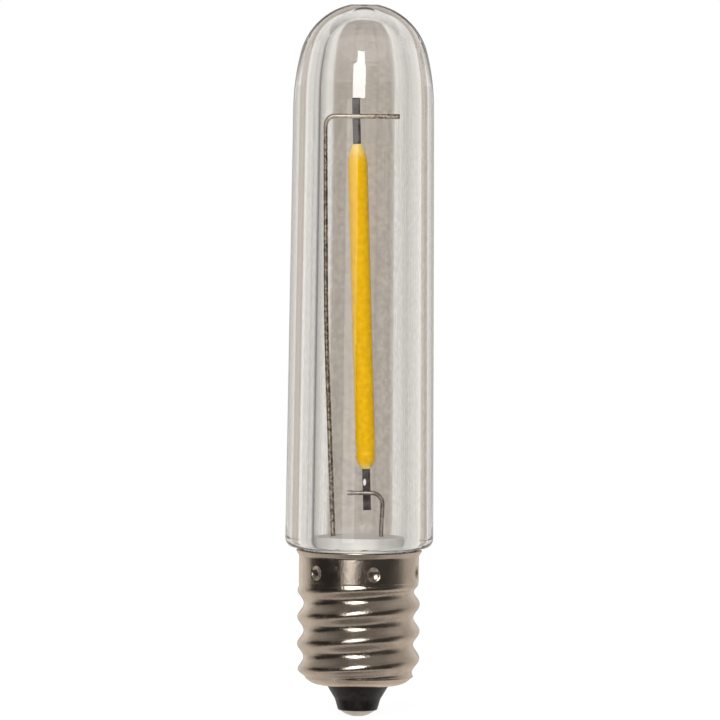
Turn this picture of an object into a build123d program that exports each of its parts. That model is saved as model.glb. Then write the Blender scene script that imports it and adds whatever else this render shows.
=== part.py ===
from build123d import *
import os
from math import atan2, cos, pi, radians, sin, sqrt, tan

# A clear tubular filament bulb on a small screw base with a 12 mm rolled thread.
# Millimetres. Z is the axis of the bulb and of its thread, and +Z points to the domed end.
# The origin is the middle of the flat land on the tip contact.
# The front is -Y: both support wires pass in front of the filament's tabs.

# Heights, stacked from the tip up
contact_rise = 0.55  # domed head of the tip contact
nose_height = 2.4  # insulator that shows below the screw shell
shell_height = 12.75  # screw shell, from its flange to its flared rim
rim_gap = 0.2  # flared rim to the underside of the foot
bulb_height = 51.3  # underside of the foot to the crown of the dome

# Clear envelope
foot_radius = 6.98
foot_round = 0.9
tube_draft = 0.487  # degrees, narrowing to the dome
shoulder_radius = 22.4  # long easing curve between tube and crown
shoulder_set = 0.456  # how far the crown's sphere lies inside the tube wall
gate_depth = 0.14  # flat left by the moulding gate, below the crown
cavity_radius = 4.32  # at the floor that the wires come out of
cavity_draft = 0.35  # degrees
cavity_shoulder_radius = 19.4
cavity_shoulder_set = 0.33
crown_wall = 1.6
neck_tuck = 0.25  # neck's open end below the skirt
neck_lead_in = 0.4  # chamfer at the neck's open end
neck_root = 0.25  # fillet between neck and foot
neck_clearance = 0.05  # neck to the inside of the screw shell

# Rolled screw shell
sheet = 0.25
thread_pitch = 2.54
thread_major_diameter = 11.56
thread_minor_diameter = 10.36
crest_rise = 1.29  # height above the flange of a crest on the -X side
steps_per_turn = 8
skirt_diameter = 11.3
skirt_length = 2.95  # rim to the end of the thread's run-out
runout_height = 1.05  # thread fades into the skirt
fade_in_height = 0.75  # thread rises out of the rounded corner
flange_flat = 0.56  # flat ring round the bottom opening, inside the rounded corner
corner_height = 0.65  # plain part of the rounded corner, below the thread
flare_diameter = 12.0
flare_height = 0.55
flare_bend = 0.3
rim_round = 0.08

# Crimp dents that lock the shell to the neck
crimp_count = 6
crimp_angle = -76.0  # degrees from +X, first dent
crimp_rise = 0.93  # end of the thread's run-out to the middle of the dents
crimp_width = 1.35
crimp_depth = 0.3
crimp_bend = 0.15  # soft rim round each dent
crimp_clearance = 0.05

# Insulator and tip contact
nose_radius = 2.97
nose_clearance = 0.03  # nose in the shell's bottom opening
waist_radius = 2.15
waist_rise = 1.05  # above the contact's head
waist_round = 0.8
chin_radius = 1.85
chin_round = 0.15
flange_clearance = 0.1  # insulator's flange inside the shell's corner
flange_thickness = 1.0
head_radius = 1.67
land_radius = 0.6
shank_radius = 0.4
shank_length = 2.0
shank_clearance = 0.02

# Stopper that closes the tube and holds the wires
plug_rise = 1.1  # floor above the underside of the foot
plug_clearance = 0.03
plug_floor = 1.6
plug_wall = 0.7
wire_clearance = 0.03

# Support wires
long_wire_diameter = 0.47
long_wire_inset = 1.82  # wire's foot to the cavity wall
long_wire_wall_gap = 0.13  # top bend to the cavity wall
long_wire_bow = 0.3  # how far the wire bows out from a straight line
long_wire_bend = 1.0
long_arm_drop = 9.05  # top of the cavity to the cross arm
long_arm_gap = 0.6  # free end to the cavity wall
short_wire_diameter = 0.41
short_wire_inset = 2.26
short_wire_lean = 0.16  # sideways, from the floor to the bend
short_wire_bend = 1.05
short_arm_rise = 4.1  # floor to the cross arm
short_arm_overhang = 1.85  # free end past the filament's axis
cut_end_diameter = 0.47  # burr that the cutter leaves on the short wire
cut_end_length = 0.5
long_kink_bend = 7.5  # slight bend where the wire leaves the floor
long_bow_bend = 300.0
short_kink_bend = 3.0

# Filament
coat_diameter = 1.9
coat_tip_radius = 0.44
coat_top_taper = 2.1
coat_bottom_taper = 1.3
bead_waist_length = 1.0  # shallow waist above the bead at the coat's lower end
bead_waist_depth = 0.07
filament_lean = 2.17  # degrees, top to the left
upper_tab_reach = 2.6  # coat's end to the long wire's arm
upper_tab_overrun = 1.6  # tab's end past the arm
lower_tab_reach = 2.25
lower_tab_overrun = 1.65
tab_width = 0.75
tab_thickness = 0.2
tab_grip = 0.9  # tab's end inside the coat
substrate_width = 0.8
substrate_thickness = 0.3
chip_count = 28
chip_length = 0.6
chip_width = 0.3
chip_thickness = 0.12

# Driver inside the screw shell
board_thickness = 0.8
board_clearance = 0.12  # board's edges to the stopper's skirt
board_headroom = 0.8  # board's top edge to the stopper's floor
board_length = 8.1  # hangs below the stopper's floor
wire_solder_length = 2.0  # support wires' ends along the board
capacitor_diameter = 4.0
capacitor_height = 4.4
capacitor_leg = 0.45
capacitor_leg_pitch = 1.5
capacitor_leg_rise = 0.7
rectifier_width = 3.9
rectifier_height = 3.4
rectifier_depth = 1.5
rectifier_gap = 0.4  # rectifier's top to the side lead
rectifier_leg_width = 0.6
rectifier_leg_reach = 0.9
rectifier_leg_thickness = 0.25
chip_drop = 0.9  # board's top edge to the driver chip
chip_gap = 0.5  # between parts that sit above each other on the board
driver_chip_width = 2.9
driver_chip_height = 1.3
driver_chip_depth = 1.1
resistor_width = 1.6
resistor_height = 2.6
resistor_depth = 0.6
resistor_offset = 2.1  # from the axis, to the right
lead_diameter = 0.4
lead_bend = 0.5
side_lead_angle = 134.0  # degrees from +X, between two crimp dents
side_lead_gap = 0.15  # lead to the inside of the skirt
side_lead_drop = 0.7  # below the neck's open end
side_lead_rise = 2.4  # up along the neck
lead_clearance = 0.04

# Levels and radii that follow from the sizes above
z_flange = contact_rise + nose_height
z_rim = z_flange + shell_height
z_foot = z_rim + rim_gap
z_apex = z_foot + bulb_height
z_floor = z_foot + plug_rise
z_skirt = z_rim - skirt_length
z_crimp = z_skirt + crimp_rise
z_neck = z_skirt - neck_tuck
z_corner = z_flange + corner_height
z_insulator = z_flange + sheet + flange_thickness
z_board_top = z_floor - plug_floor - board_headroom
z_board = z_board_top - board_length
z_wire_end = z_board_top - wire_solder_length
z_driver_chip = z_board_top - chip_drop - driver_chip_height
z_capacitor_leg = z_driver_chip - chip_gap - capacitor_leg / 2
z_side_lead = z_neck - side_lead_drop
skirt_radius = skirt_diameter / 2
thread_mean_radius = (thread_major_diameter + thread_minor_diameter) / 4
thread_eccentricity = (thread_major_diameter - thread_minor_diameter) / 4
hub_radius = nose_radius + nose_clearance + flange_flat
corner_radius = thread_mean_radius - hub_radius
neck_radius = skirt_radius - sheet - neck_clearance
plug_radius = cavity_radius - plug_clearance
plug_bore = plug_radius - plug_wall
long_wire_radius = long_wire_diameter / 2
short_wire_radius = short_wire_diameter / 2
lead_radius = lead_diameter / 2
z_rectifier_top = z_side_lead - lead_radius - rectifier_gap
z_rectifier = z_rectifier_top - rectifier_height
side_lead_radius = skirt_radius - sheet - side_lead_gap - lead_radius
weld_plane = long_wire_radius
short_wire_plane = weld_plane - short_wire_radius
filament_plane = weld_plane + tab_thickness / 2
board_back = weld_plane + board_thickness
z_long_arm = z_apex - crown_wall - long_arm_drop
z_short_arm = z_floor + short_arm_rise
coat_length = z_long_arm - z_short_arm - upper_tab_reach - lower_tab_reach
coat_radius = coat_diameter / 2


def turned(outline):
    """Solid of revolution about Z from edges drawn as (radius, height)."""
    return revolve(Plane.XZ * make_face(outline), axis=Axis.Z)


def rod(path, radius):
    """Round wire along a path."""
    return sweep(Plane(path @ 0, z_dir=path % 0) * Circle(radius), path=path)


def upright(x, y, bottom, radius, height):
    """Upright cylinder on a level."""
    return Pos(x, y, bottom + height / 2) * Cylinder(radius, height)


def block(x_range, y_range, z_range):
    """Rectangular block between pairs of limits."""
    size = [high - low for low, high in (x_range, y_range, z_range)]
    middle = [(high + low) / 2 for low, high in (x_range, y_range, z_range)]
    return Pos(*middle) * Box(*size)


def ease(share):
    """Smooth step from 0 to 1, level at both ends."""
    held = min(max(share, 0.0), 1.0)
    return held * held * (3 - 2 * held)


def dome(wall_radius, wall_height, draft, apex, inward_set, easing_radius):
    """Points and tangents of a wall, an easing arc and a crown that meet tangentially.

    The wall leans in by draft degrees from (wall_radius, wall_height) up, and the crown's
    sphere, centred on the axis, touches the apex.
    """
    lean = radians(draft)
    lowered = (wall_height - apex - inward_set) * sin(lean)
    reach = (wall_radius * cos(lean) + lowered) / (1 - sin(lean))
    crown_radius = reach - inward_set
    centre = apex - crown_radius
    drop = sqrt(inward_set * (2 * easing_radius - crown_radius - reach))
    wall_end = (
        reach * cos(lean) + drop * sin(lean),
        centre + reach * sin(lean) - drop * cos(lean),
    )
    easing_centre = (
        wall_end[0] - easing_radius * cos(lean),
        wall_end[1] - easing_radius * sin(lean),
    )
    turn = atan2(centre - easing_centre[1], -easing_centre[0])
    crown_start = (crown_radius * cos(turn), centre + crown_radius * sin(turn))
    easing_arc = TangentArc(wall_end, crown_start, tangent=(-sin(lean), cos(lean)))
    return wall_end, easing_arc, crown_start, (-sin(turn), cos(turn)), crown_radius


def cavity_at(height):
    """Radius of the cavity's straight wall at a height."""
    return cavity_radius - (height - z_floor) * tan(radians(cavity_draft))


def cavity():
    """Hollow of the tube, open at the neck."""
    apex = z_apex - crown_wall
    mouth = cavity_at(z_neck)
    wall_end, easing_arc, crown_start, heading, _ = dome(
        mouth, z_neck, cavity_draft, apex, cavity_shoulder_set, cavity_shoulder_radius
    )
    outline = [
        Line((0, z_neck), (mouth, z_neck)),
        Line((mouth, z_neck), wall_end),
        easing_arc,
        TangentArc(crown_start, (0, apex), tangent=heading),
        Line((0, apex), (0, z_neck)),
    ]
    return turned(outline)


def crimp_places():
    """Places on the skirt where the crimping tool presses, pointing outwards along X."""
    turn = 360 / crimp_count
    return [Pos(0, 0, z_crimp) * Rot(0, 0, crimp_angle + turn * n) for n in range(crimp_count)]


def crimp_balls(offset):
    """Balls that press the dents, grown by an offset."""
    ball = ((crimp_width / 2) ** 2 + crimp_depth**2) / (2 * crimp_depth)
    stand = skirt_radius + ball - crimp_depth
    return [place * Pos(stand, 0, 0) * Sphere(ball + offset) for place in crimp_places()]


def side_lead_slot():
    """Groove in the neck that the side lead lies in, open outwards."""
    half = lead_radius + lead_clearance
    top = z_neck - side_lead_drop + side_lead_rise + lead_clearance
    run = upright(side_lead_radius, 0, z_neck, half, top - z_neck)
    mouth = block((side_lead_radius, neck_radius + half), (-half, half), (z_neck, top))
    return Rot(0, 0, side_lead_angle) * (run + mouth)


def envelope():
    """Clear tube with its dome, rounded foot and neck."""
    wall_end, easing_arc, crown_start, heading, crown_radius = dome(
        foot_radius, z_foot, tube_draft, z_apex, shoulder_set, shoulder_radius
    )
    z_gate = z_apex - gate_depth
    gate_radius = sqrt(crown_radius**2 - (crown_radius - gate_depth) ** 2)
    foot = FilletPolyline(
        (neck_radius - neck_lead_in, z_neck),
        (neck_radius, z_neck + neck_lead_in),
        (neck_radius, z_foot),
        (foot_radius, z_foot),
        wall_end,
        radius=[0, neck_root, foot_round],
    )
    outline = [
        Line((0, z_neck), (neck_radius - neck_lead_in, z_neck)),
        *foot.edges(),
        easing_arc,
        TangentArc(crown_start, (gate_radius, z_gate), tangent=heading),
        Line((gate_radius, z_gate), (0, z_gate)),
        Line((0, z_gate), (0, z_neck)),
    ]
    seats = crimp_balls(sheet + crimp_clearance)
    return turned(outline) - cavity() - seats - side_lead_slot()


def shell_section(height, inset):
    """Middle and radius of the threaded shell's round section at a height.

    A rolled knuckle thread is a round section whose middle circles the axis once a pitch.
    The section returns to the axis in the bottom corner and below the skirt.
    """
    corner_top = z_flange + corner_radius
    radius = thread_mean_radius - inset
    if height < corner_top:
        flank = (corner_radius - inset) ** 2 - (corner_top - height) ** 2
        radius = hub_radius + sqrt(flank)
    fade_out = ease((height - z_skirt + runout_height) / runout_height)
    fade_in = ease((height - z_corner) / fade_in_height)
    radius += fade_out * (skirt_radius - thread_mean_radius)
    offset = thread_eccentricity * fade_in * (1 - fade_out)
    turn = pi + 2 * pi * (height - z_flange - crest_rise) / thread_pitch
    return Pos(offset * cos(turn), offset * sin(turn), height) * Circle(radius)


def shell_body(inset):
    """Solid inside the screw shell's surface, inset by part of the sheet's thickness."""
    bottom = z_flange + inset
    corner_top = z_flange + corner_radius
    drop = corner_top - z_corner
    edge = hub_radius + sqrt((corner_radius - inset) ** 2 - drop**2)
    corner = turned([
        Line((0, bottom), (hub_radius, bottom)),
        TangentArc((hub_radius, bottom), (edge, z_corner), tangent=(1, 0)),
        Line((edge, z_corner), (0, z_corner)),
        Line((0, z_corner), (0, bottom)),
    ])
    steps = round((z_skirt - z_corner) * steps_per_turn / thread_pitch)
    rise = (z_skirt - z_corner) / steps
    thread = loft([shell_section(z_corner + n * rise, inset) for n in range(steps + 1)])
    flare = FilletPolyline(
        (skirt_radius - inset, z_skirt),
        (skirt_radius - inset, z_rim - flare_height),
        (flare_diameter / 2 - inset, z_rim),
        radius=flare_bend,
    )
    skirt = turned([
        *flare.edges(),
        Line((flare_diameter / 2 - inset, z_rim), (0, z_rim)),
        Line((0, z_rim), (0, z_skirt)),
        Line((0, z_skirt), (skirt_radius - inset, z_skirt)),
    ])
    return corner + thread + crimped(skirt, inset)


def crimped(skirt, inset):
    """Skirt with the crimp dents pressed in and their rims rounded."""
    pressed = skirt - crimp_balls(inset)
    rims = [edge for edge in pressed.edges() if edge.geom_type == GeomType.BSPLINE]
    return fillet(rims, crimp_bend + inset)


def screw_shell():
    """Rolled sheet shell: flange, thread, skirt with crimp dents, and flared rim."""
    outside = shell_body(0)
    inside = shell_body(sheet)
    opening = Pos(0, 0, z_flange) * Cylinder(nose_radius + nose_clearance, 2 * sheet)
    shell = outside - inside - opening
    rim_edges = shell.edges().group_by(Axis.Z)[-1]
    return fillet(rim_edges, rim_round)


def base_insulator():
    """Black nose, flanged inside the screw shell, with a bore for the contact's shank."""
    seat = z_flange + sheet
    flange_radius = hub_radius - flange_clearance
    nose = FilletPolyline(
        (nose_radius, seat),
        (nose_radius, z_flange),
        (waist_radius, contact_rise + waist_rise),
        (chin_radius, contact_rise),
        (0, contact_rise),
        radius=[0, waist_round, chin_round],
    )
    body = turned([
        *nose.edges(),
        Line((0, contact_rise), (0, z_insulator)),
        Line((0, z_insulator), (flange_radius, z_insulator)),
        Line((flange_radius, z_insulator), (flange_radius, seat)),
        Line((flange_radius, seat), (nose_radius, seat)),
    ])
    depth = z_insulator - contact_rise
    bore = upright(0, 0, contact_rise, shank_radius + shank_clearance, depth)
    lead_place = shank_radius + lead_radius
    slot = upright(0, lead_place, contact_rise, lead_radius + lead_clearance, depth)
    return body - bore - slot


def tip_contact():
    """Nail-shaped contact: domed head with a flat land, and a shank pressed into the nose."""
    dome_centre = (head_radius**2 - land_radius**2 + contact_rise**2) / (2 * contact_rise)
    brim = (head_radius, contact_rise)
    head = turned([
        Line((0, 0), (land_radius, 0)),
        TangentArc((land_radius, 0), brim, tangent=(dome_centre, land_radius)),
        Line(brim, (0, contact_rise)),
        Line((0, contact_rise), (0, 0)),
    ])
    return head + upright(0, 0, contact_rise, shank_radius, shank_length)


def wire_plug():
    """Stopper in the tube's open end: a floor with two wire holes, and a skirt."""
    height = z_floor - z_neck
    body = upright(0, 0, z_neck, plug_radius, height)
    hollow = upright(0, 0, z_neck, plug_bore, height - plug_floor)
    long_bore = long_wire_radius + wire_clearance
    short_bore = short_wire_radius + wire_clearance
    long_hole = upright(long_wire_foot(), 0, z_neck, long_bore, height)
    short_hole = upright(short_wire_foot(), short_wire_plane, z_neck, short_bore, height)
    return body - hollow - long_hole - short_hole


def long_wire_foot():
    """Place along X where the long wire leaves the floor."""
    return -(cavity_radius - long_wire_inset)


def short_wire_foot():
    """Place along X where the short wire leaves the floor."""
    return cavity_radius - short_wire_inset


def long_support_wire():
    """Wire up the left of the tube, bowed out a little, with an arm across the top."""
    room = cavity_at(z_long_arm)
    foot = long_wire_foot()
    top = -(room - long_wire_wall_gap - long_wire_radius)
    kink = z_floor + long_wire_diameter
    middle = ((foot + top) / 2 - long_wire_bow, (kink + z_long_arm) / 2)
    path = FilletPolyline(
        (foot, 0, z_wire_end),
        (foot, 0, kink),
        (middle[0], 0, middle[1]),
        (top, 0, z_long_arm),
        (room - long_arm_gap, 0, z_long_arm),
        radius=[long_kink_bend, long_bow_bend, long_wire_bend],
    )
    return rod(path, long_wire_radius)


def short_support_wire():
    """Wire on the right with an arm across the filament's lower tab and a burred cut end."""
    foot = short_wire_foot()
    end = filament_x(z_short_arm) - short_arm_overhang
    y = short_wire_plane
    kink = z_floor + short_wire_diameter
    path = FilletPolyline(
        (foot, y, z_wire_end),
        (foot, y, kink),
        (foot + short_wire_lean, y, z_short_arm),
        (end, y, z_short_arm),
        radius=[short_kink_bend, short_wire_bend],
    )
    burr_place = Pos(end + cut_end_length / 2, y, z_short_arm) * Rot(0, 90, 0)
    burr = burr_place * Cylinder(cut_end_diameter / 2, cut_end_length)
    return rod(path, short_wire_radius) + burr


def filament_x(height):
    """Place of the leaning filament's axis along X at a height."""
    return -(height - filament_middle()) * tan(radians(filament_lean))


def filament_middle():
    """Height of the middle of the coat."""
    return z_short_arm + lower_tab_reach + coat_length / 2


def leaning(shape):
    """Put a piece, drawn upright about the coat's middle, in the filament's place."""
    return Pos(0, filament_plane, filament_middle()) * Rot(0, -filament_lean, 0) * shape


def substrate_blank():
    """Strip inside the coat, upright."""
    half = coat_length / 2 - tab_grip
    width = substrate_width / 2
    depth = substrate_thickness / 2
    return block((-width, width), (-depth, depth), (-half, half))


def chip_blanks():
    """Row of chips on the front of the strip, upright."""
    run = coat_length - 2 * tab_grip - 2 * chip_length
    pitch = run / (chip_count - 1)
    front = -substrate_thickness / 2 - chip_thickness / 2
    chip = Box(chip_width, chip_thickness, chip_length)
    return [Pos(0, front, -run / 2 + n * pitch) * chip for n in range(chip_count)]


def tab_blank(side, reach, overrun):
    """Flat tab from inside the coat to past the wire's arm, upright, on the side of the sign."""
    inner = coat_length / 2 - tab_grip
    outer = coat_length / 2 + reach + overrun
    ends = sorted((side * inner, side * outer))
    width = tab_width / 2
    depth = tab_thickness / 2
    return block((-width, width), (-depth, depth), ends)


def coat_blank():
    """Coat of the filament, upright: tapered at the top, with a waist and a bead at the bottom."""
    half = coat_length / 2
    top = half - coat_top_taper
    bottom = -half + coat_bottom_taper
    waist_top = bottom + bead_waist_length
    waist = (coat_radius - bead_waist_depth, bottom + bead_waist_length / 2)
    return turned([
        Line((0, -half), (coat_tip_radius, -half)),
        TangentArc((coat_radius, bottom), (coat_tip_radius, -half), tangent=(0, -1)),
        ThreePointArc((coat_radius, bottom), waist, (coat_radius, waist_top)),
        Line((coat_radius, waist_top), (coat_radius, top)),
        TangentArc((coat_radius, top), (coat_tip_radius, half), tangent=(0, 1)),
        Line((coat_tip_radius, half), (0, half)),
        Line((0, half), (0, -half)),
    ])


def upper_filament_tab():
    """Tab welded behind the long wire's arm."""
    return leaning(tab_blank(1, upper_tab_reach, upper_tab_overrun))


def lower_filament_tab():
    """Tab welded behind the short wire's arm."""
    return leaning(tab_blank(-1, lower_tab_reach, lower_tab_overrun))


def filament_substrate():
    """Strip that carries the chips."""
    return leaning(substrate_blank())


def led_chips():
    """Row of separate chips."""
    return leaning(Compound(children=[Part() + chip for chip in chip_blanks()]))


def phosphor_coat():
    """Coat with the room that the strip, the chips and the tabs take up inside it."""
    held = [substrate_blank(), *chip_blanks()]
    held.append(tab_blank(1, upper_tab_reach, upper_tab_overrun))
    held.append(tab_blank(-1, lower_tab_reach, lower_tab_overrun))
    return leaning(coat_blank() - held)


def driver_board():
    """Circuit board, upright behind the ends of the support wires."""
    half = sqrt((plug_bore - board_clearance) ** 2 - board_back**2)
    return block((-half, half), (weld_plane, board_back), (z_board, z_board_top))


def smoothing_capacitor():
    """Round can in front of the board, with two legs bent back to it."""
    y = weld_plane - capacitor_diameter / 2
    top = z_capacitor_leg - capacitor_leg_rise
    can = upright(0, y, top - capacitor_height, capacitor_diameter / 2, capacitor_height)
    for side in (-1, 1):
        x = side * capacitor_leg_pitch / 2
        path = FilletPolyline(
            (x, y, top),
            (x, y, z_capacitor_leg),
            (x, weld_plane, z_capacitor_leg),
            radius=capacitor_leg,
        )
        can += rod(path, capacitor_leg / 2)
    return can


def bridge_rectifier():
    """Moulded block on the back of the board, with two pairs of flat legs."""
    half = rectifier_width / 2
    depth = (board_back, board_back + rectifier_depth)
    body = block((-half, half), depth, (z_rectifier, z_rectifier_top))
    sole = (board_back, board_back + rectifier_leg_thickness)
    leg_inset = rectifier_height / 4
    for height in (z_rectifier + leg_inset, z_rectifier_top - leg_inset):
        legs_z = (height - rectifier_leg_width / 2, height + rectifier_leg_width / 2)
        reach = half + rectifier_leg_reach
        body += block((-reach, reach), sole, legs_z)
    return body


def driver_chip():
    """Small moulded chip on the front of the board, above the capacitor's legs."""
    half = driver_chip_width / 2
    depth = (weld_plane - driver_chip_depth, weld_plane)
    return block((-half, half), depth, (z_driver_chip, z_driver_chip + driver_chip_height))


def fusible_resistor():
    """Flat resistor, upright on the back of the board, above the rectifier."""
    bottom = z_rectifier_top + chip_gap
    half = resistor_width / 2
    width = (resistor_offset - half, resistor_offset + half)
    depth = (board_back, board_back + resistor_depth)
    return block(width, depth, (bottom, bottom + resistor_height))


def side_lead():
    """Lead from the board's back out under the neck's end and up its groove."""
    start = (board_back + lead_radius) / sin(radians(side_lead_angle))
    path = FilletPolyline(
        (start, 0, z_side_lead),
        (side_lead_radius, 0, z_side_lead),
        (side_lead_radius, 0, z_side_lead + side_lead_rise),
        radius=lead_bend,
    )
    return Rot(0, 0, side_lead_angle) * rod(path, lead_radius)


def tip_lead():
    """Lead from the board's back down beside the contact's shank."""
    y_board = board_back + lead_radius
    y_shank = shank_radius + lead_radius
    path = FilletPolyline(
        (0, y_shank, contact_rise + lead_diameter),
        (0, y_shank, z_insulator + lead_radius),
        (0, y_board, z_board - lead_radius),
        (0, y_board, z_rectifier - chip_gap),
        radius=lead_bend,
    )
    return rod(path, lead_radius)


pieces = [
    envelope,
    wire_plug,
    long_support_wire,
    short_support_wire,
    upper_filament_tab,
    lower_filament_tab,
    filament_substrate,
    led_chips,
    phosphor_coat,
    screw_shell,
    base_insulator,
    tip_contact,
    driver_board,
    smoothing_capacitor,
    bridge_rectifier,
    driver_chip,
    fusible_resistor,
    side_lead,
    tip_lead,
]

os.makedirs("parts", exist_ok=True)
for piece in pieces:
    export_step(piece(), f"parts/{piece.__name__}.step")
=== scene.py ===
# %% [markdown]
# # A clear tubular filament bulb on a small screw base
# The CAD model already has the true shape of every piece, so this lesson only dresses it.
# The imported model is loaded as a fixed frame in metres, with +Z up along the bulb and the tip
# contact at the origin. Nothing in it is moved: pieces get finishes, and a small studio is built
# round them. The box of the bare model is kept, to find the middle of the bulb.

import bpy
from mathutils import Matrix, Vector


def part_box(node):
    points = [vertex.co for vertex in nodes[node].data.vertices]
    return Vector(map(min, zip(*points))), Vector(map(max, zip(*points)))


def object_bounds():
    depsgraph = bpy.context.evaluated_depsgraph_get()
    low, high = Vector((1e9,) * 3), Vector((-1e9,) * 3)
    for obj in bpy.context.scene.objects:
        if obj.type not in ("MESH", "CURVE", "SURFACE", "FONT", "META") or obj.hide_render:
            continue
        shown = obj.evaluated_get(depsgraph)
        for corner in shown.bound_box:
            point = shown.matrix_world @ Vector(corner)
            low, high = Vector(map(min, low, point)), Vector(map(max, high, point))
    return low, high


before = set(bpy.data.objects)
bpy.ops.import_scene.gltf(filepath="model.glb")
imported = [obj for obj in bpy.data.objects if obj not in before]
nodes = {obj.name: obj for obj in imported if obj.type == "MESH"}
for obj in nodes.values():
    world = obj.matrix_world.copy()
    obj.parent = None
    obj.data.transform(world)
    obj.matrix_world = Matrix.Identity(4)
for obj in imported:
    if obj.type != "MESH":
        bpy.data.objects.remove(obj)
cad_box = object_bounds()
print("pieces:", sorted(nodes))
print("box in mm:", [[round(1000 * v, 2) for v in corner] for corner in cad_box])

# %% [markdown]
# ## Tools for finishes
# A finish is a small tree of shader nodes. Real surfaces are never one even colour, so nearly every
# finish here starts from a noise in the bulb's own metres. The noise could be painted as a picture,
# but nodes need no unwrapping, stay sharp at any distance and follow the piece wherever it goes.
# One helper makes the noise, others turn it into colours, numbers or tiny dents, and the last one
# puts the finish on pieces.

# %% Noise, colours and numbers
import bpy


def new_finish(name):
    """A new material, its node tree and its Principled shader."""
    material = bpy.data.materials.new(name)
    material.use_nodes = True
    return material, material.node_tree, material.node_tree.nodes["Principled BSDF"]


def grain(tree, size, detail=3.0, draw_out=(1, 1, 1)):
    """Noise with spots of that size in metres, drawn out along an axis where draw_out is above 1."""
    place = tree.nodes.new("ShaderNodeTexCoord")
    mapping = tree.nodes.new("ShaderNodeMapping")
    noise = tree.nodes.new("ShaderNodeTexNoise")
    mapping.inputs["Scale"].default_value = [1 / stretch for stretch in draw_out]
    noise.inputs["Scale"].default_value = 1 / size
    noise.inputs["Detail"].default_value = detail
    tree.links.new(place.outputs["Object"], mapping.inputs["Vector"])
    tree.links.new(mapping.outputs["Vector"], noise.inputs["Vector"])
    return noise.outputs["Fac"]


def shades(tree, value, stops):
    """Colours picked by a value from 0 to 1. Each stop is a place and a colour."""
    ramp = tree.nodes.new("ShaderNodeValToRGB")
    elements = ramp.color_ramp.elements
    while len(elements) < len(stops):
        elements.new(0.5)
    for element, (place, colour) in zip(elements, stops):
        element.position = place
        element.color = (*colour, 1)
    tree.links.new(value, ramp.inputs["Fac"])
    return ramp.outputs["Color"]


def between(tree, value, low, high, start=0.3, end=0.7):
    """A number that goes from low to high as the value goes from start to end."""
    spread = tree.nodes.new("ShaderNodeMapRange")
    spread.inputs["From Min"].default_value = start
    spread.inputs["From Max"].default_value = end
    spread.inputs["To Min"].default_value = low
    spread.inputs["To Max"].default_value = high
    tree.links.new(value, spread.inputs["Value"])
    return spread.outputs["Result"]


def mixed(tree, share, first, second):
    """Blend from the first colour to the second as share goes from 0 to 1."""
    mix = tree.nodes.new("ShaderNodeMix")
    mix.data_type = "RGBA"
    tree.links.new(share, mix.inputs["Factor"])
    tree.links.new(first, mix.inputs["A"])
    tree.links.new(second, mix.inputs["B"])
    return mix.outputs["Result"]


def times(tree, first, second):
    """Product of two colours or numbers."""
    product = tree.nodes.new("ShaderNodeVectorMath")
    product.operation = "MULTIPLY"
    tree.links.new(first, product.inputs[0])
    tree.links.new(second, product.inputs[1])
    return product.outputs["Vector"]


# %% Places, dents and dressing
def along_axis(tree, axis):
    """Place along one of the bulb's axes, in metres."""
    place = tree.nodes.new("ShaderNodeTexCoord")
    split = tree.nodes.new("ShaderNodeSeparateXYZ")
    tree.links.new(place.outputs["Object"], split.inputs["Vector"])
    return split.outputs[axis]


def dented(tree, shader, value, height):
    """Let a value press tiny dents of that height, in metres, into the shader's surface."""
    bump = tree.nodes.new("ShaderNodeBump")
    bump.inputs["Distance"].default_value = height
    tree.links.new(value, bump.inputs["Height"])
    tree.links.new(bump.outputs["Normal"], shader.inputs["Normal"])


def wear(material, *names):
    """Put a finish on CAD pieces."""
    for name in names:
        nodes[name].data.materials.clear()
        nodes[name].data.materials.append(material)
    print(material.name, "on", ", ".join(names))


# %% [markdown]
# ## Clear envelope
# The tube and its dome are one thick moulding in clear plastic, open at the neck. A thin-walled
# shader would be quicker, but the wall is over a third of the radius and bends the light strongly:
# the dark lines along the tube are folds in what is seen through it. So the CAD solid, with its true
# outside and inside, gets full refraction. Lamps can't shine through refracting surfaces without a
# lot of noise, so rays that only ask about shadow pass straight through.

# %% Clear plastic
def clear_plastic():
    material, tree, shader = new_finish("clear_moulded_plastic")
    haze = grain(tree, size=0.004, detail=5)
    tint = shades(tree, haze, [(0.3, (0.96, 0.955, 0.945)), (0.7, (0.985, 0.985, 0.98))])
    tree.links.new(tint, shader.inputs["Base Color"])
    shader.inputs["Roughness"].default_value = 0.0
    shader.inputs["IOR"].default_value = 1.585
    shader.inputs["Transmission Weight"].default_value = 1.0
    lamp_path = tree.nodes.new("ShaderNodeLightPath")
    passes = tree.nodes.new("ShaderNodeBsdfTransparent")
    mix = tree.nodes.new("ShaderNodeMixShader")
    tree.links.new(lamp_path.outputs["Is Shadow Ray"], mix.inputs["Fac"])
    tree.links.new(shader.outputs["BSDF"], mix.inputs[1])
    tree.links.new(passes.outputs["BSDF"], mix.inputs[2])
    output = tree.nodes["Material Output"]
    tree.links.new(mix.outputs["Shader"], output.inputs["Surface"])
    return material


wear(clear_plastic(), "envelope")

# %% [markdown]
# ## Plated screw shell
# The shell is thin sheet, rolled to a thread and plated with nickel, which is a little warm and
# yellow beside chrome. The plate keeps the fine grain of the rolled sheet, and handling leaves scuffs
# that are duller. Both are far finer than any mesh, so they are left to the shading: one noise stains
# the colour, a second makes the scuffs rougher, and a third presses tiny pits into the surface.

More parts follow.
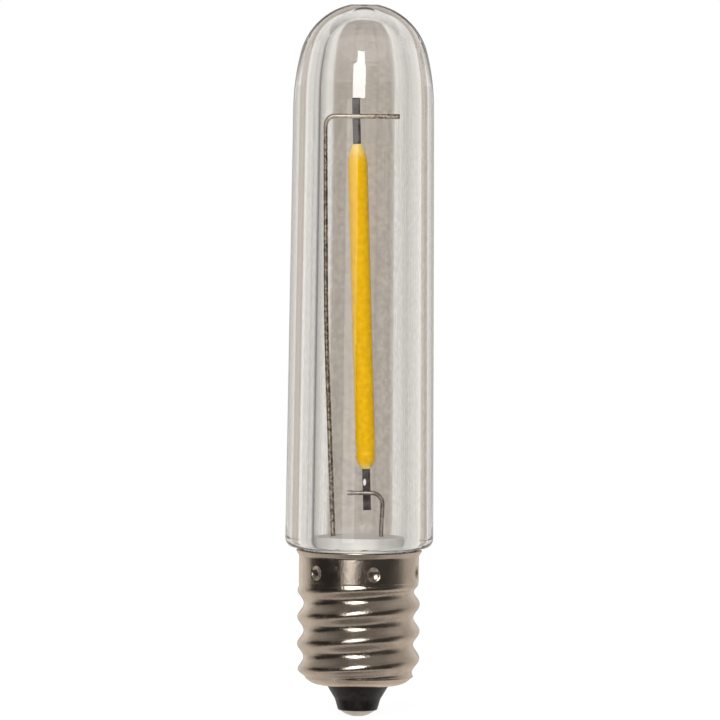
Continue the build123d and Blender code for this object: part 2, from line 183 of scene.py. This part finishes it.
# %% Nickel plate
def nickel_plate():
    material, tree, shader = new_finish("nickel_plate")
    stain = grain(tree, size=0.0035, detail=4)
    colour = shades(tree, stain, [(0.35, (0.54, 0.45, 0.37)), (0.65, (0.68, 0.585, 0.49))])
    tree.links.new(colour, shader.inputs["Base Color"])
    shader.inputs["Metallic"].default_value = 1.0
    scuff = grain(tree, size=0.0011, detail=6)
    roughness = between(tree, scuff, 0.16, 0.3, start=0.45, end=0.7)
    tree.links.new(roughness, shader.inputs["Roughness"])
    pits = grain(tree, size=0.00013, detail=5)
    dented(tree, shader, pits, 0.00002)
    return material


wear(nickel_plate(), "screw_shell")

# %% [markdown]
# ## Nose and tip contact
# The black nose is moulded from a hard, slightly glossy insulator. The tip contact is pressed nickel
# too, but rubbed satin by the lamp holder's spring. Dust on the nose and rub marks on the contact
# could be modelled, but a fine noise in colour and roughness shows the same at this size.

# %% Black insulator and satin contact
def black_insulator():
    material, tree, shader = new_finish("black_moulding")
    dust = grain(tree, size=0.0006, detail=6)
    colour = shades(tree, dust, [(0.45, (0.0075, 0.005, 0.0044)), (0.8, (0.03, 0.023, 0.02))])
    tree.links.new(colour, shader.inputs["Base Color"])
    tree.links.new(between(tree, dust, 0.3, 0.5), shader.inputs["Roughness"])
    dented(tree, shader, grain(tree, size=0.0002), 0.00003)
    return material


def satin_contact():
    material, tree, shader = new_finish("satin_contact")
    rub = grain(tree, size=0.0005, detail=5)
    colour = shades(tree, rub, [(0.3, (0.55, 0.54, 0.52)), (0.7, (0.8, 0.8, 0.78))])
    tree.links.new(colour, shader.inputs["Base Color"])
    shader.inputs["Metallic"].default_value = 1.0
    tree.links.new(between(tree, rub, 0.28, 0.42), shader.inputs["Roughness"])
    dented(tree, shader, grain(tree, size=0.00015), 0.00003)
    return material


wear(black_insulator(), "base_insulator")
wear(satin_contact(), "tip_contact")

# %% [markdown]
# ## Support wires and tabs
# Both wires are drawn nickel-iron. Only the bend and the near half of the long wire's arm were wiped
# bright, and elsewhere the metal is dull with dark specks. The wiped stretch is found from places in
# the frame: above a height and left of a line. The tabs are a darker, duller strip, and the lower one
# has a painted glint: a pale, dull spot at the weld that stands in for softbox light caught by a dimple.
# Separate pieces could stand in for specks and weld, but at this size a change of colour in the finish
# is all that shows.

# %% Drawn wire
wiped_below_arm = (0.0025, 0.001)
wiped_until = (0.0, 0.0012)


def drawn_wire():
    material, tree, shader = new_finish("drawn_wire")
    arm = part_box("long_support_wire")[1].z
    low, high = (arm - drop for drop in wiped_below_arm)
    left, right = wiped_until
    raised = between(tree, along_axis(tree, "Z"), 0.0, 1.0, start=low, end=high)
    leftward = between(tree, along_axis(tree, "X"), 1.0, 0.0, start=left, end=right)
    flecks = grain(tree, size=0.0003, detail=5)
    dull_stops = [(0.38, (0.15, 0.118, 0.094)), (0.52, (0.33, 0.275, 0.22)), (0.66, (0.68, 0.61, 0.52))]
    dull = shades(tree, flecks, dull_stops)
    bright = shades(tree, flecks, [(0.35, (0.4, 0.34, 0.27)), (0.65, (0.58, 0.51, 0.42))])
    wiped = times(tree, raised, leftward)
    tree.links.new(mixed(tree, wiped, dull, bright), shader.inputs["Base Color"])
    shader.inputs["Metallic"].default_value = 1.0
    tree.links.new(between(tree, flecks, 0.4, 0.26), shader.inputs["Roughness"])
    dented(tree, shader, flecks, 0.000016)
    return material


def dull_wire():
    material, tree, shader = new_finish("dull_wire")
    tarnish = grain(tree, size=0.0005, detail=5)
    colour = shades(tree, tarnish, [(0.35, (0.16, 0.135, 0.115)), (0.65, (0.4, 0.36, 0.32))])
    tree.links.new(colour, shader.inputs["Base Color"])
    shader.inputs["Metallic"].default_value = 1.0
    tree.links.new(between(tree, tarnish, 0.45, 0.35), shader.inputs["Roughness"])
    dented(tree, shader, tarnish, 0.00004)
    return material


wear(drawn_wire(), "long_support_wire")
wear(dull_wire(), "short_support_wire")

# %% Tab strip with a painted glint at the weld
# Place and reach of a painted glint on the lower tab: a pale spot that stands in for softbox light caught
# by a dimple at the weld.
painted_glint_place = (0.00045, 0.0, 0.0221)
painted_glint_reach = (0.00015, 1.0, 0.00034)


def painted_glint_share(tree):
    """1 inside the oval painted glint at the weld, seen from the front, and 0 outside it."""
    place = tree.nodes.new("ShaderNodeTexCoord")
    mapping = tree.nodes.new("ShaderNodeMapping")
    mapping.vector_type = "TEXTURE"
    mapping.inputs["Location"].default_value = painted_glint_place
    mapping.inputs["Scale"].default_value = painted_glint_reach
    reach = tree.nodes.new("ShaderNodeVectorMath")
    reach.operation = "LENGTH"
    tree.links.new(place.outputs["Object"], mapping.inputs["Vector"])
    tree.links.new(mapping.outputs["Vector"], reach.inputs[0])
    return between(tree, reach.outputs["Value"], 1.0, 0.0, start=0.8, end=1.1)


def tab_strip():
    material, tree, shader = new_finish("tab_strip")
    tarnish = grain(tree, size=0.0005, detail=4)
    strip = shades(tree, tarnish, [(0.35, (0.035, 0.029, 0.028)), (0.65, (0.08, 0.07, 0.068))])
    # Painted glint: inside the spot the colour turns pale and the metal turns dull, so the spot looks lit.
    painted_glint_colour = shades(tree, tarnish, [(0.3, (0.55, 0.53, 0.5)), (0.7, (0.85, 0.84, 0.82))])
    painted_glint = painted_glint_share(tree)
    tree.links.new(mixed(tree, painted_glint, strip, painted_glint_colour), shader.inputs["Base Color"])
    tree.links.new(between(tree, painted_glint, 1.0, 0.0, start=0, end=1), shader.inputs["Metallic"])
    tree.links.new(between(tree, tarnish, 0.3, 0.5), shader.inputs["Roughness"])
    return material


wear(tab_strip(), "upper_filament_tab", "lower_filament_tab")

# %% [markdown]
# ## Filament
# The filament is a strip of tiny chips in a coat of silicone that is thick with amber phosphor
# powder. The silicone sets glossy, and the coat is paler at its thin ends. The colour is the product
# of two ramps, one along the height of the coat and one from a fine powdery grain. A shader that
# scatters light below the surface would do too, but so much powder makes the coat nearly opaque.

# %% Phosphor coat
def phosphor():
    material, tree, shader = new_finish("amber_phosphor")
    low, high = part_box("phosphor_coat")
    along = between(tree, along_axis(tree, "Z"), 0.0, 1.0, start=low.z, end=high.z)
    pale, amber = (0.82, 0.64, 0.22), (0.75, 0.44, 0.004)
    stops = [(0.0, pale), (0.02, amber), (0.95, amber), (1.0, pale)]
    colour = shades(tree, along, stops)
    powder = grain(tree, size=0.0005, detail=6)
    speck = shades(tree, powder, [(0.35, (0.88, 0.82, 0.7)), (0.65, (1.0, 1.0, 1.0))])
    tree.links.new(times(tree, colour, speck), shader.inputs["Base Color"])
    tree.links.new(between(tree, powder, 0.1, 0.2), shader.inputs["Roughness"])
    shader.inputs["Specular IOR Level"].default_value = 0.12
    dented(tree, shader, powder, 0.000003)
    return material


wear(phosphor(), "phosphor_coat")

# %% [markdown]
# ## Stopper and hidden pieces
# The pale stopper shows at the bottom of the tube. The strip and the chips are hidden in the coat,
# and the driver is hidden in the screw shell. They still get finishes, because the model can be
# taken apart. Each could have a tree of its own, but plain ceramic, plastic and tinned metal
# differ in little more than colour and gloss. So one helper makes them all from two close shades.

# %% Stopper, strip, chips and driver
def speckled(name, dark, light, size, roughness, metallic=0.0):
    """A plain finish with two close shades in spots of that size, in metres."""
    material, tree, shader = new_finish(name)
    spots = grain(tree, size=size, detail=4)
    uneven = 0.05
    tree.links.new(shades(tree, spots, [(0.35, dark), (0.65, light)]), shader.inputs["Base Color"])
    tree.links.new(between(tree, spots, roughness - uneven, roughness + uneven), shader.inputs["Roughness"])
    shader.inputs["Metallic"].default_value = metallic
    return material


ceramic = speckled("white_ceramic", (0.8, 0.8, 0.77), (0.88, 0.88, 0.86), 0.0006, 0.5)
sapphire = speckled("sapphire_chips", (0.5, 0.6, 0.78), (0.62, 0.72, 0.88), 0.0003, 0.15)
stopper = speckled("pale_stopper", (0.5, 0.48, 0.45), (0.58, 0.56, 0.53), 0.0012, 0.45)
board = speckled("solder_mask", (0.02, 0.13, 0.05), (0.035, 0.18, 0.07), 0.0009, 0.35)
can = speckled("drawn_can", (0.55, 0.55, 0.57), (0.66, 0.66, 0.68), 0.0006, 0.3, metallic=1.0)
epoxy = speckled("moulded_epoxy", (0.02, 0.02, 0.02), (0.035, 0.035, 0.035), 0.0003, 0.55)
glaze = speckled("resistor_glaze", (0.05, 0.055, 0.06), (0.09, 0.1, 0.11), 0.0004, 0.3)
tinned = speckled("tinned_wire", (0.6, 0.59, 0.56), (0.74, 0.73, 0.7), 0.0004, 0.3, metallic=1.0)

wear(ceramic, "filament_substrate")
wear(sapphire, "led_chips")
wear(stopper, "wire_plug")
wear(board, "driver_board")
wear(can, "smoothing_capacitor")
wear(epoxy, "bridge_rectifier", "driver_chip")
wear(glaze, "fusible_resistor")
wear(tinned, "side_lead", "tip_lead")

# %% [markdown]
# ## Studio tent
# Clear plastic and polished metal have no look of their own: they show the room. The room here is a
# round tent that the camera doesn't see. At the bulb's own level it holds a grey backdrop straight
# behind, a pale card on each side of that, and dark flags beside the camera. The backdrop is shaded
# towards its top. Low flags and a table lie below, lighter behind the bulb than before it, and above
# is a dim ceiling. A picture of a studio would do too, but rings of named shades are easier to read
# and to shift. Each ring lists azimuths in degrees and how bright the tent is there. Azimuth 0 is the
# camera's side, and it grows to the right.

# %% Shades of the tent
import math

tent_radius = 0.8
level_ring = [
    (-180, 0.57), (-164, 0.57), (-161, 0.9), (-140, 0.8), (-117, 0.65), (-109, 0.2), (-102, 0.035),
    (-42, 0.03), (6, 0.06), (60, 0.06), (85, 0.12), (98, 0.45), (112, 0.65), (140, 0.75), (161, 0.9),
    (164, 0.57), (180, 0.57),
]
low_ring = [
    (-180, 0.8), (-116, 0.7), (-100, 0.3), (-80, 0.05), (70, 0.05), (90, 0.3), (110, 0.7), (180, 0.8),
]
table_ring = [(-180, 0.8), (-110, 0.6), (-60, 0.58), (60, 0.5), (110, 0.6), (180, 0.8)]
foot_ring = [(-180, 0.6), (-110, 0.4), (-60, 0.16), (60, 0.22), (110, 0.4), (180, 0.6)]
ceiling_ring = [
    (-160, 0.8), (-110, 0.35), (-60, 0.15), (0, 0.18), (60, 0.26), (110, 0.5), (160, 0.8),
]
card_light = (1.0, 0.965, 0.92)
backdrop_light = (1.0, 0.89, 0.79)
backdrop_edge = 163
shadow_share = 0.6
shaded_ring = [(a, shade * shadow_share if abs(a) > backdrop_edge else shade) for a, shade in level_ring]
tent_levels = [
    ((-65, -58), table_ring), ((-44, -36), low_ring), ((-12, -7), level_ring),
    ((4, 22), shaded_ring), ((24, 27), ceiling_ring),
]


def ring_stops(ring, front_light=card_light):
    """Places and colours for a colour ramp that runs once round the tent."""
    stops = []
    for azimuth, shade in ring:
        light = backdrop_light if abs(azimuth) > backdrop_edge else front_light
        stops.append(((azimuth + 180) / 360, [shade * part for part in light]))
    return stops


def tent_height(elevation):
    """Height of a place on the tent, in metres above its middle."""
    return tent_radius * math.sin(math.radians(elevation))


print("levels of the tent start at", [edge[0] for edge, _ in tent_levels], "degrees")

# %% [markdown]
# The dark flags are there for the metal, and for the thin dark lines in the edges of the tube. Seen
# through the plastic from other sides they would make the bulb black, so light that comes straight
# through it finds white in their place. Light that the wall has turned finds white only low on the
# tent, where a view from above looks. A second tent for the plastic alone would need a second set of
# shades, so the one tent asks each ray how it came.

# %% White for light through the plastic
white_light = (1.0, 1.0, 1.0)
front_ring = [(-106, 0.0), (-100, 1.0), (100, 1.0), (106, 0.0)]  # share of white, the camera's half
clear_ring = [(-100, 0.45), (-90, 0.45), (-80, 1.05), (80, 1.05), (90, 0.45), (100, 0.45)]  # its shade
low_clear_ring = [(-100, 1.05), (100, 1.05)]  # its shade below clear_edge
wall_steps = 4  # longest turned path that counts as short
clear_edge = (-4.8, -3.8)  # elevations where the low part of the tent ends


def low_share(tree, height):
    """1 in the low part of the tent and 0 above it."""
    low, high = (tent_height(elevation) for elevation in clear_edge)
    return between(tree, height, 1.0, 0.0, start=low, end=high)


def seen_through(tree, height):
    """1 for rays straight through the plastic, and low down for rays turned inside its wall too."""
    path = tree.nodes.new("ShaderNodeLightPath")
    straight = tree.nodes.new("ShaderNodeMath")
    straight.operation = "COMPARE"
    straight.inputs[2].default_value = 0.5
    tree.links.new(path.outputs["Ray Depth"], straight.inputs[0])
    tree.links.new(path.outputs["Transmission Depth"], straight.inputs[1])
    few_steps = between(tree, path.outputs["Ray Depth"], 1.0, 0.0, start=wall_steps, end=wall_steps + 1)
    turned = times(tree, few_steps, low_share(tree, height))
    either = tree.nodes.new("ShaderNodeMath")
    either.operation = "MAXIMUM"
    tree.links.new(straight.outputs["Value"], either.inputs[0])
    tree.links.new(turned, either.inputs[1])
    return times(tree, path.outputs["Is Transmission Ray"], either.outputs["Value"])


print("white from azimuth", front_ring[0][0], "to", front_ring[-1][0])

# %% Studio tent
cloth_stops = [(0.3, (0.86, 0.86, 0.86)), (0.7, (1.1, 1.1, 1.1))]
upright_folds = {"size": 0.05, "draw_out": (1, 1, 30)}
level_threads = {"size": 0.0012, "draw_out": (35, 35, 1)}


def tent_shade(tree):
    """Colour of the tent from the azimuth and the height of a place on it."""
    place = tree.nodes.new("ShaderNodeTexCoord")
    split = tree.nodes.new("ShaderNodeSeparateXYZ")
    forward = tree.nodes.new("ShaderNodeMath")
    forward.operation = "MULTIPLY"
    forward.inputs[1].default_value = -1.0
    angle = tree.nodes.new("ShaderNodeMath")
    angle.operation = "ARCTAN2"
    tree.links.new(place.outputs["Object"], split.inputs["Vector"])
    tree.links.new(split.outputs["Y"], forward.inputs[0])
    tree.links.new(split.outputs["X"], angle.inputs[0])
    tree.links.new(forward.outputs["Value"], angle.inputs[1])
    turn = between(tree, angle.outputs["Value"], 0.0, 1.0, start=-math.pi, end=math.pi)
    colour = shades(tree, turn, ring_stops(foot_ring))
    for edge, ring in tent_levels:
        low, high = (tent_height(elevation) for elevation in edge)
        above = between(tree, split.outputs["Z"], 0.0, 1.0, start=low, end=high)
        colour = mixed(tree, above, colour, shades(tree, turn, ring_stops(ring)))
    for weave in (upright_folds, level_threads):
        cloth = shades(tree, grain(tree, **weave), cloth_stops)
        colour = times(tree, colour, cloth)
    front = shades(tree, turn, ring_stops(front_ring, white_light))
    clear = shades(tree, turn, ring_stops(clear_ring, white_light))
    low_clear = shades(tree, turn, ring_stops(low_clear_ring, white_light))
    clear = mixed(tree, low_share(tree, split.outputs["Z"]), clear, low_clear)
    return mixed(tree, times(tree, front, seen_through(tree, split.outputs["Z"])), colour, clear)


def studio_tent():
    bpy.ops.mesh.primitive_uv_sphere_add(segments=96, ring_count=48, radius=tent_radius)
    tent = bpy.context.object
    tent.name = "studio_tent"
    tent.visible_camera = tent.visible_diffuse = tent.visible_shadow = False
    material, tree, _ = new_finish("studio_tent")
    glow = tree.nodes.new("ShaderNodeEmission")
    tree.links.new(tent_shade(tree), glow.inputs["Color"])
    tree.links.new(glow.outputs["Emission"], tree.nodes["Material Output"].inputs["Surface"])
    tent.data.materials.append(material)


studio_tent()
print("tent of", tent_radius, "m with", len(level_ring), "shades round the bulb")

# %% [markdown]
# ## Floor
# The floor is a pale disc that the tip just touches. Where it is seen it is lifted towards white, so
# that it runs into the white background without an edge, and it still takes the bulb's shadow. It
# stays out of the metal's reflections, where the tent's table takes its place. A curved sweep of
# paper is what a studio would use, but a flat disc needs no bend to hide.

# %% Pale floor
floor_radius = 0.18
floor_lift = 0.7
floor_glow = 1.3


def seen_rays(tree):
    """1 for rays from the camera, from metal and through plastic, 0 for rays that only light."""
    path = tree.nodes.new("ShaderNodeLightPath")
    seen = path.outputs["Is Camera Ray"]
    for name in ("Is Glossy Ray", "Is Transmission Ray"):
        either = tree.nodes.new("ShaderNodeMath")
        either.operation = "MAXIMUM"
        tree.links.new(seen, either.inputs[0])
        tree.links.new(path.outputs[name], either.inputs[1])
        seen = either.outputs["Value"]
    return seen


def pale_floor():
    bpy.ops.mesh.primitive_circle_add(vertices=96, radius=floor_radius, fill_type="NGON")
    floor = bpy.context.object
    floor.name = "pale_floor"
    floor.visible_glossy = False
    material, tree, shader = new_finish("pale_floor")
    fibre = grain(tree, size=0.002, detail=4)
    colour = shades(tree, fibre, [(0.3, (0.86, 0.86, 0.86)), (0.7, (0.9, 0.9, 0.9))])
    tree.links.new(colour, shader.inputs["Base Color"])
    shader.inputs["Roughness"].default_value = 0.8
    lift = tree.nodes.new("ShaderNodeEmission")
    lift.inputs["Strength"].default_value = floor_glow
    mix = tree.nodes.new("ShaderNodeMixShader")
    tree.links.new(between(tree, seen_rays(tree), 0.0, floor_lift, start=0, end=1), mix.inputs["Fac"])
    tree.links.new(shader.outputs["BSDF"], mix.inputs[1])
    tree.links.new(lift.outputs["Emission"], mix.inputs[2])
    tree.links.new(mix.outputs["Shader"], tree.nodes["Material Output"].inputs["Surface"])
    floor.data.materials.append(material)


pale_floor()
print("floor", 2 * floor_radius, "m across")

# %% [markdown]
# ## Light
# A wide softbox stands in front of the bulb, a little to the left and just above its level, with
# a narrow one above it. They are what flashes on the dome and along the thread. A dim reflector below
# them draws the streak on the skirt. None of them is seen through the plastic, where the foot would
# break them up into hard glints. Glowing cards would light the bulb too, but lamps give less noise.

# %% Softboxes and reflector
from mathutils import Matrix, Vector

bulb_middle = (cad_box[0] + cad_box[1]) / 2
softbox_radiance = 11.0
reflector_radiance = 1.6


def from_bulb(azimuth, elevation, distance):
    """A point seen from the middle of the bulb, with the tent's azimuths."""
    a, e = math.radians(azimuth), math.radians(elevation)
    direction = Vector((math.sin(a) * math.cos(e), -math.cos(a) * math.cos(e), math.sin(e)))
    return bulb_middle + distance * direction


def softbox(name, azimuths, elevations, radiance=softbox_radiance, distance=0.45):
    """A flat lamp that fills these ranges of azimuth and elevation, seen from the bulb."""
    middle = [sum(span) / 2 for span in (azimuths, elevations)]
    reach = [distance * math.tan(math.radians((span[1] - span[0]) / 2)) for span in (azimuths, elevations)]
    lamp = bpy.data.lights.new(name, "AREA")
    lamp.shape = "RECTANGLE"
    lamp.size, lamp.size_y = (2 * half for half in reach)
    lamp.energy = radiance * math.pi * lamp.size * lamp.size_y
    place = from_bulb(*middle, distance)
    stand = bpy.data.objects.new(name, lamp)
    stand.location = place
    stand.rotation_euler = (bulb_middle - place).to_track_quat("-Z", "Y").to_euler()
    stand.visible_camera = stand.visible_transmission = False
    bpy.context.scene.collection.objects.link(stand)
    print(name, "at", [round(v, 3) for v in place], round(lamp.energy, 2), "W")


softbox("wide_softbox", azimuths=(-18, 2.5), elevations=(9, 26))
softbox("narrow_softbox", azimuths=(-11.5, 0.5), elevations=(26, 36.5))
softbox("reflector", azimuths=(-27, -8), elevations=(-11, 8.5), radiance=reflector_radiance)

# %% [markdown]
# The photo's background is plain white. The world is white where it is seen, and only a soft fill
# where it lights dull surfaces, which would look flat in full white light from all sides.

# %% White world
fill_level = 0.25


def white_world():
    world = bpy.data.worlds.new("white_studio")
    bpy.context.scene.world = world
    world.use_nodes = True
    tree = world.node_tree
    background = tree.nodes["Background"]
    background.inputs["Color"].default_value = (1, 1, 1, 1)
    strength = between(tree, seen_rays(tree), fill_level, 1.0, start=0, end=1)
    tree.links.new(strength, background.inputs["Strength"])


white_world()
print("world lights dull surfaces at", fill_level)

# %% [markdown]
# ## Camera
# The photograph looks at the bulb from just above its middle with a long lens, and the bulb leans
# a hair to the right in the picture. So the camera stands well back, and it is rolled instead of
# the bulb.

# %% Camera
picture_width = 0.06785
camera_distance = 0.7
camera_elevation = 2.3
camera_roll = 0.58
aim = Vector((-0.0001, 0, 0.0336))


def photo_camera():
    data = bpy.data.cameras.new("photo_camera")
    data.lens = data.sensor_width * camera_distance / picture_width
    stand = bpy.data.objects.new("photo_camera", data)
    bpy.context.scene.collection.objects.link(stand)
    e = math.radians(camera_elevation)
    back = Vector((0, -math.cos(e), math.sin(e)))
    stand.location = aim + camera_distance * back
    level_look = (-back).to_track_quat("-Z", "Y").to_matrix().to_4x4()
    rolled_look = level_look @ Matrix.Rotation(math.radians(camera_roll), 4, "Z")
    stand.rotation_euler = rolled_look.to_euler()
    bpy.context.scene.camera = stand
    print("lens", round(data.lens, 1), "mm")


photo_camera()
bpy.context.scene.view_settings.view_transform = "Standard"
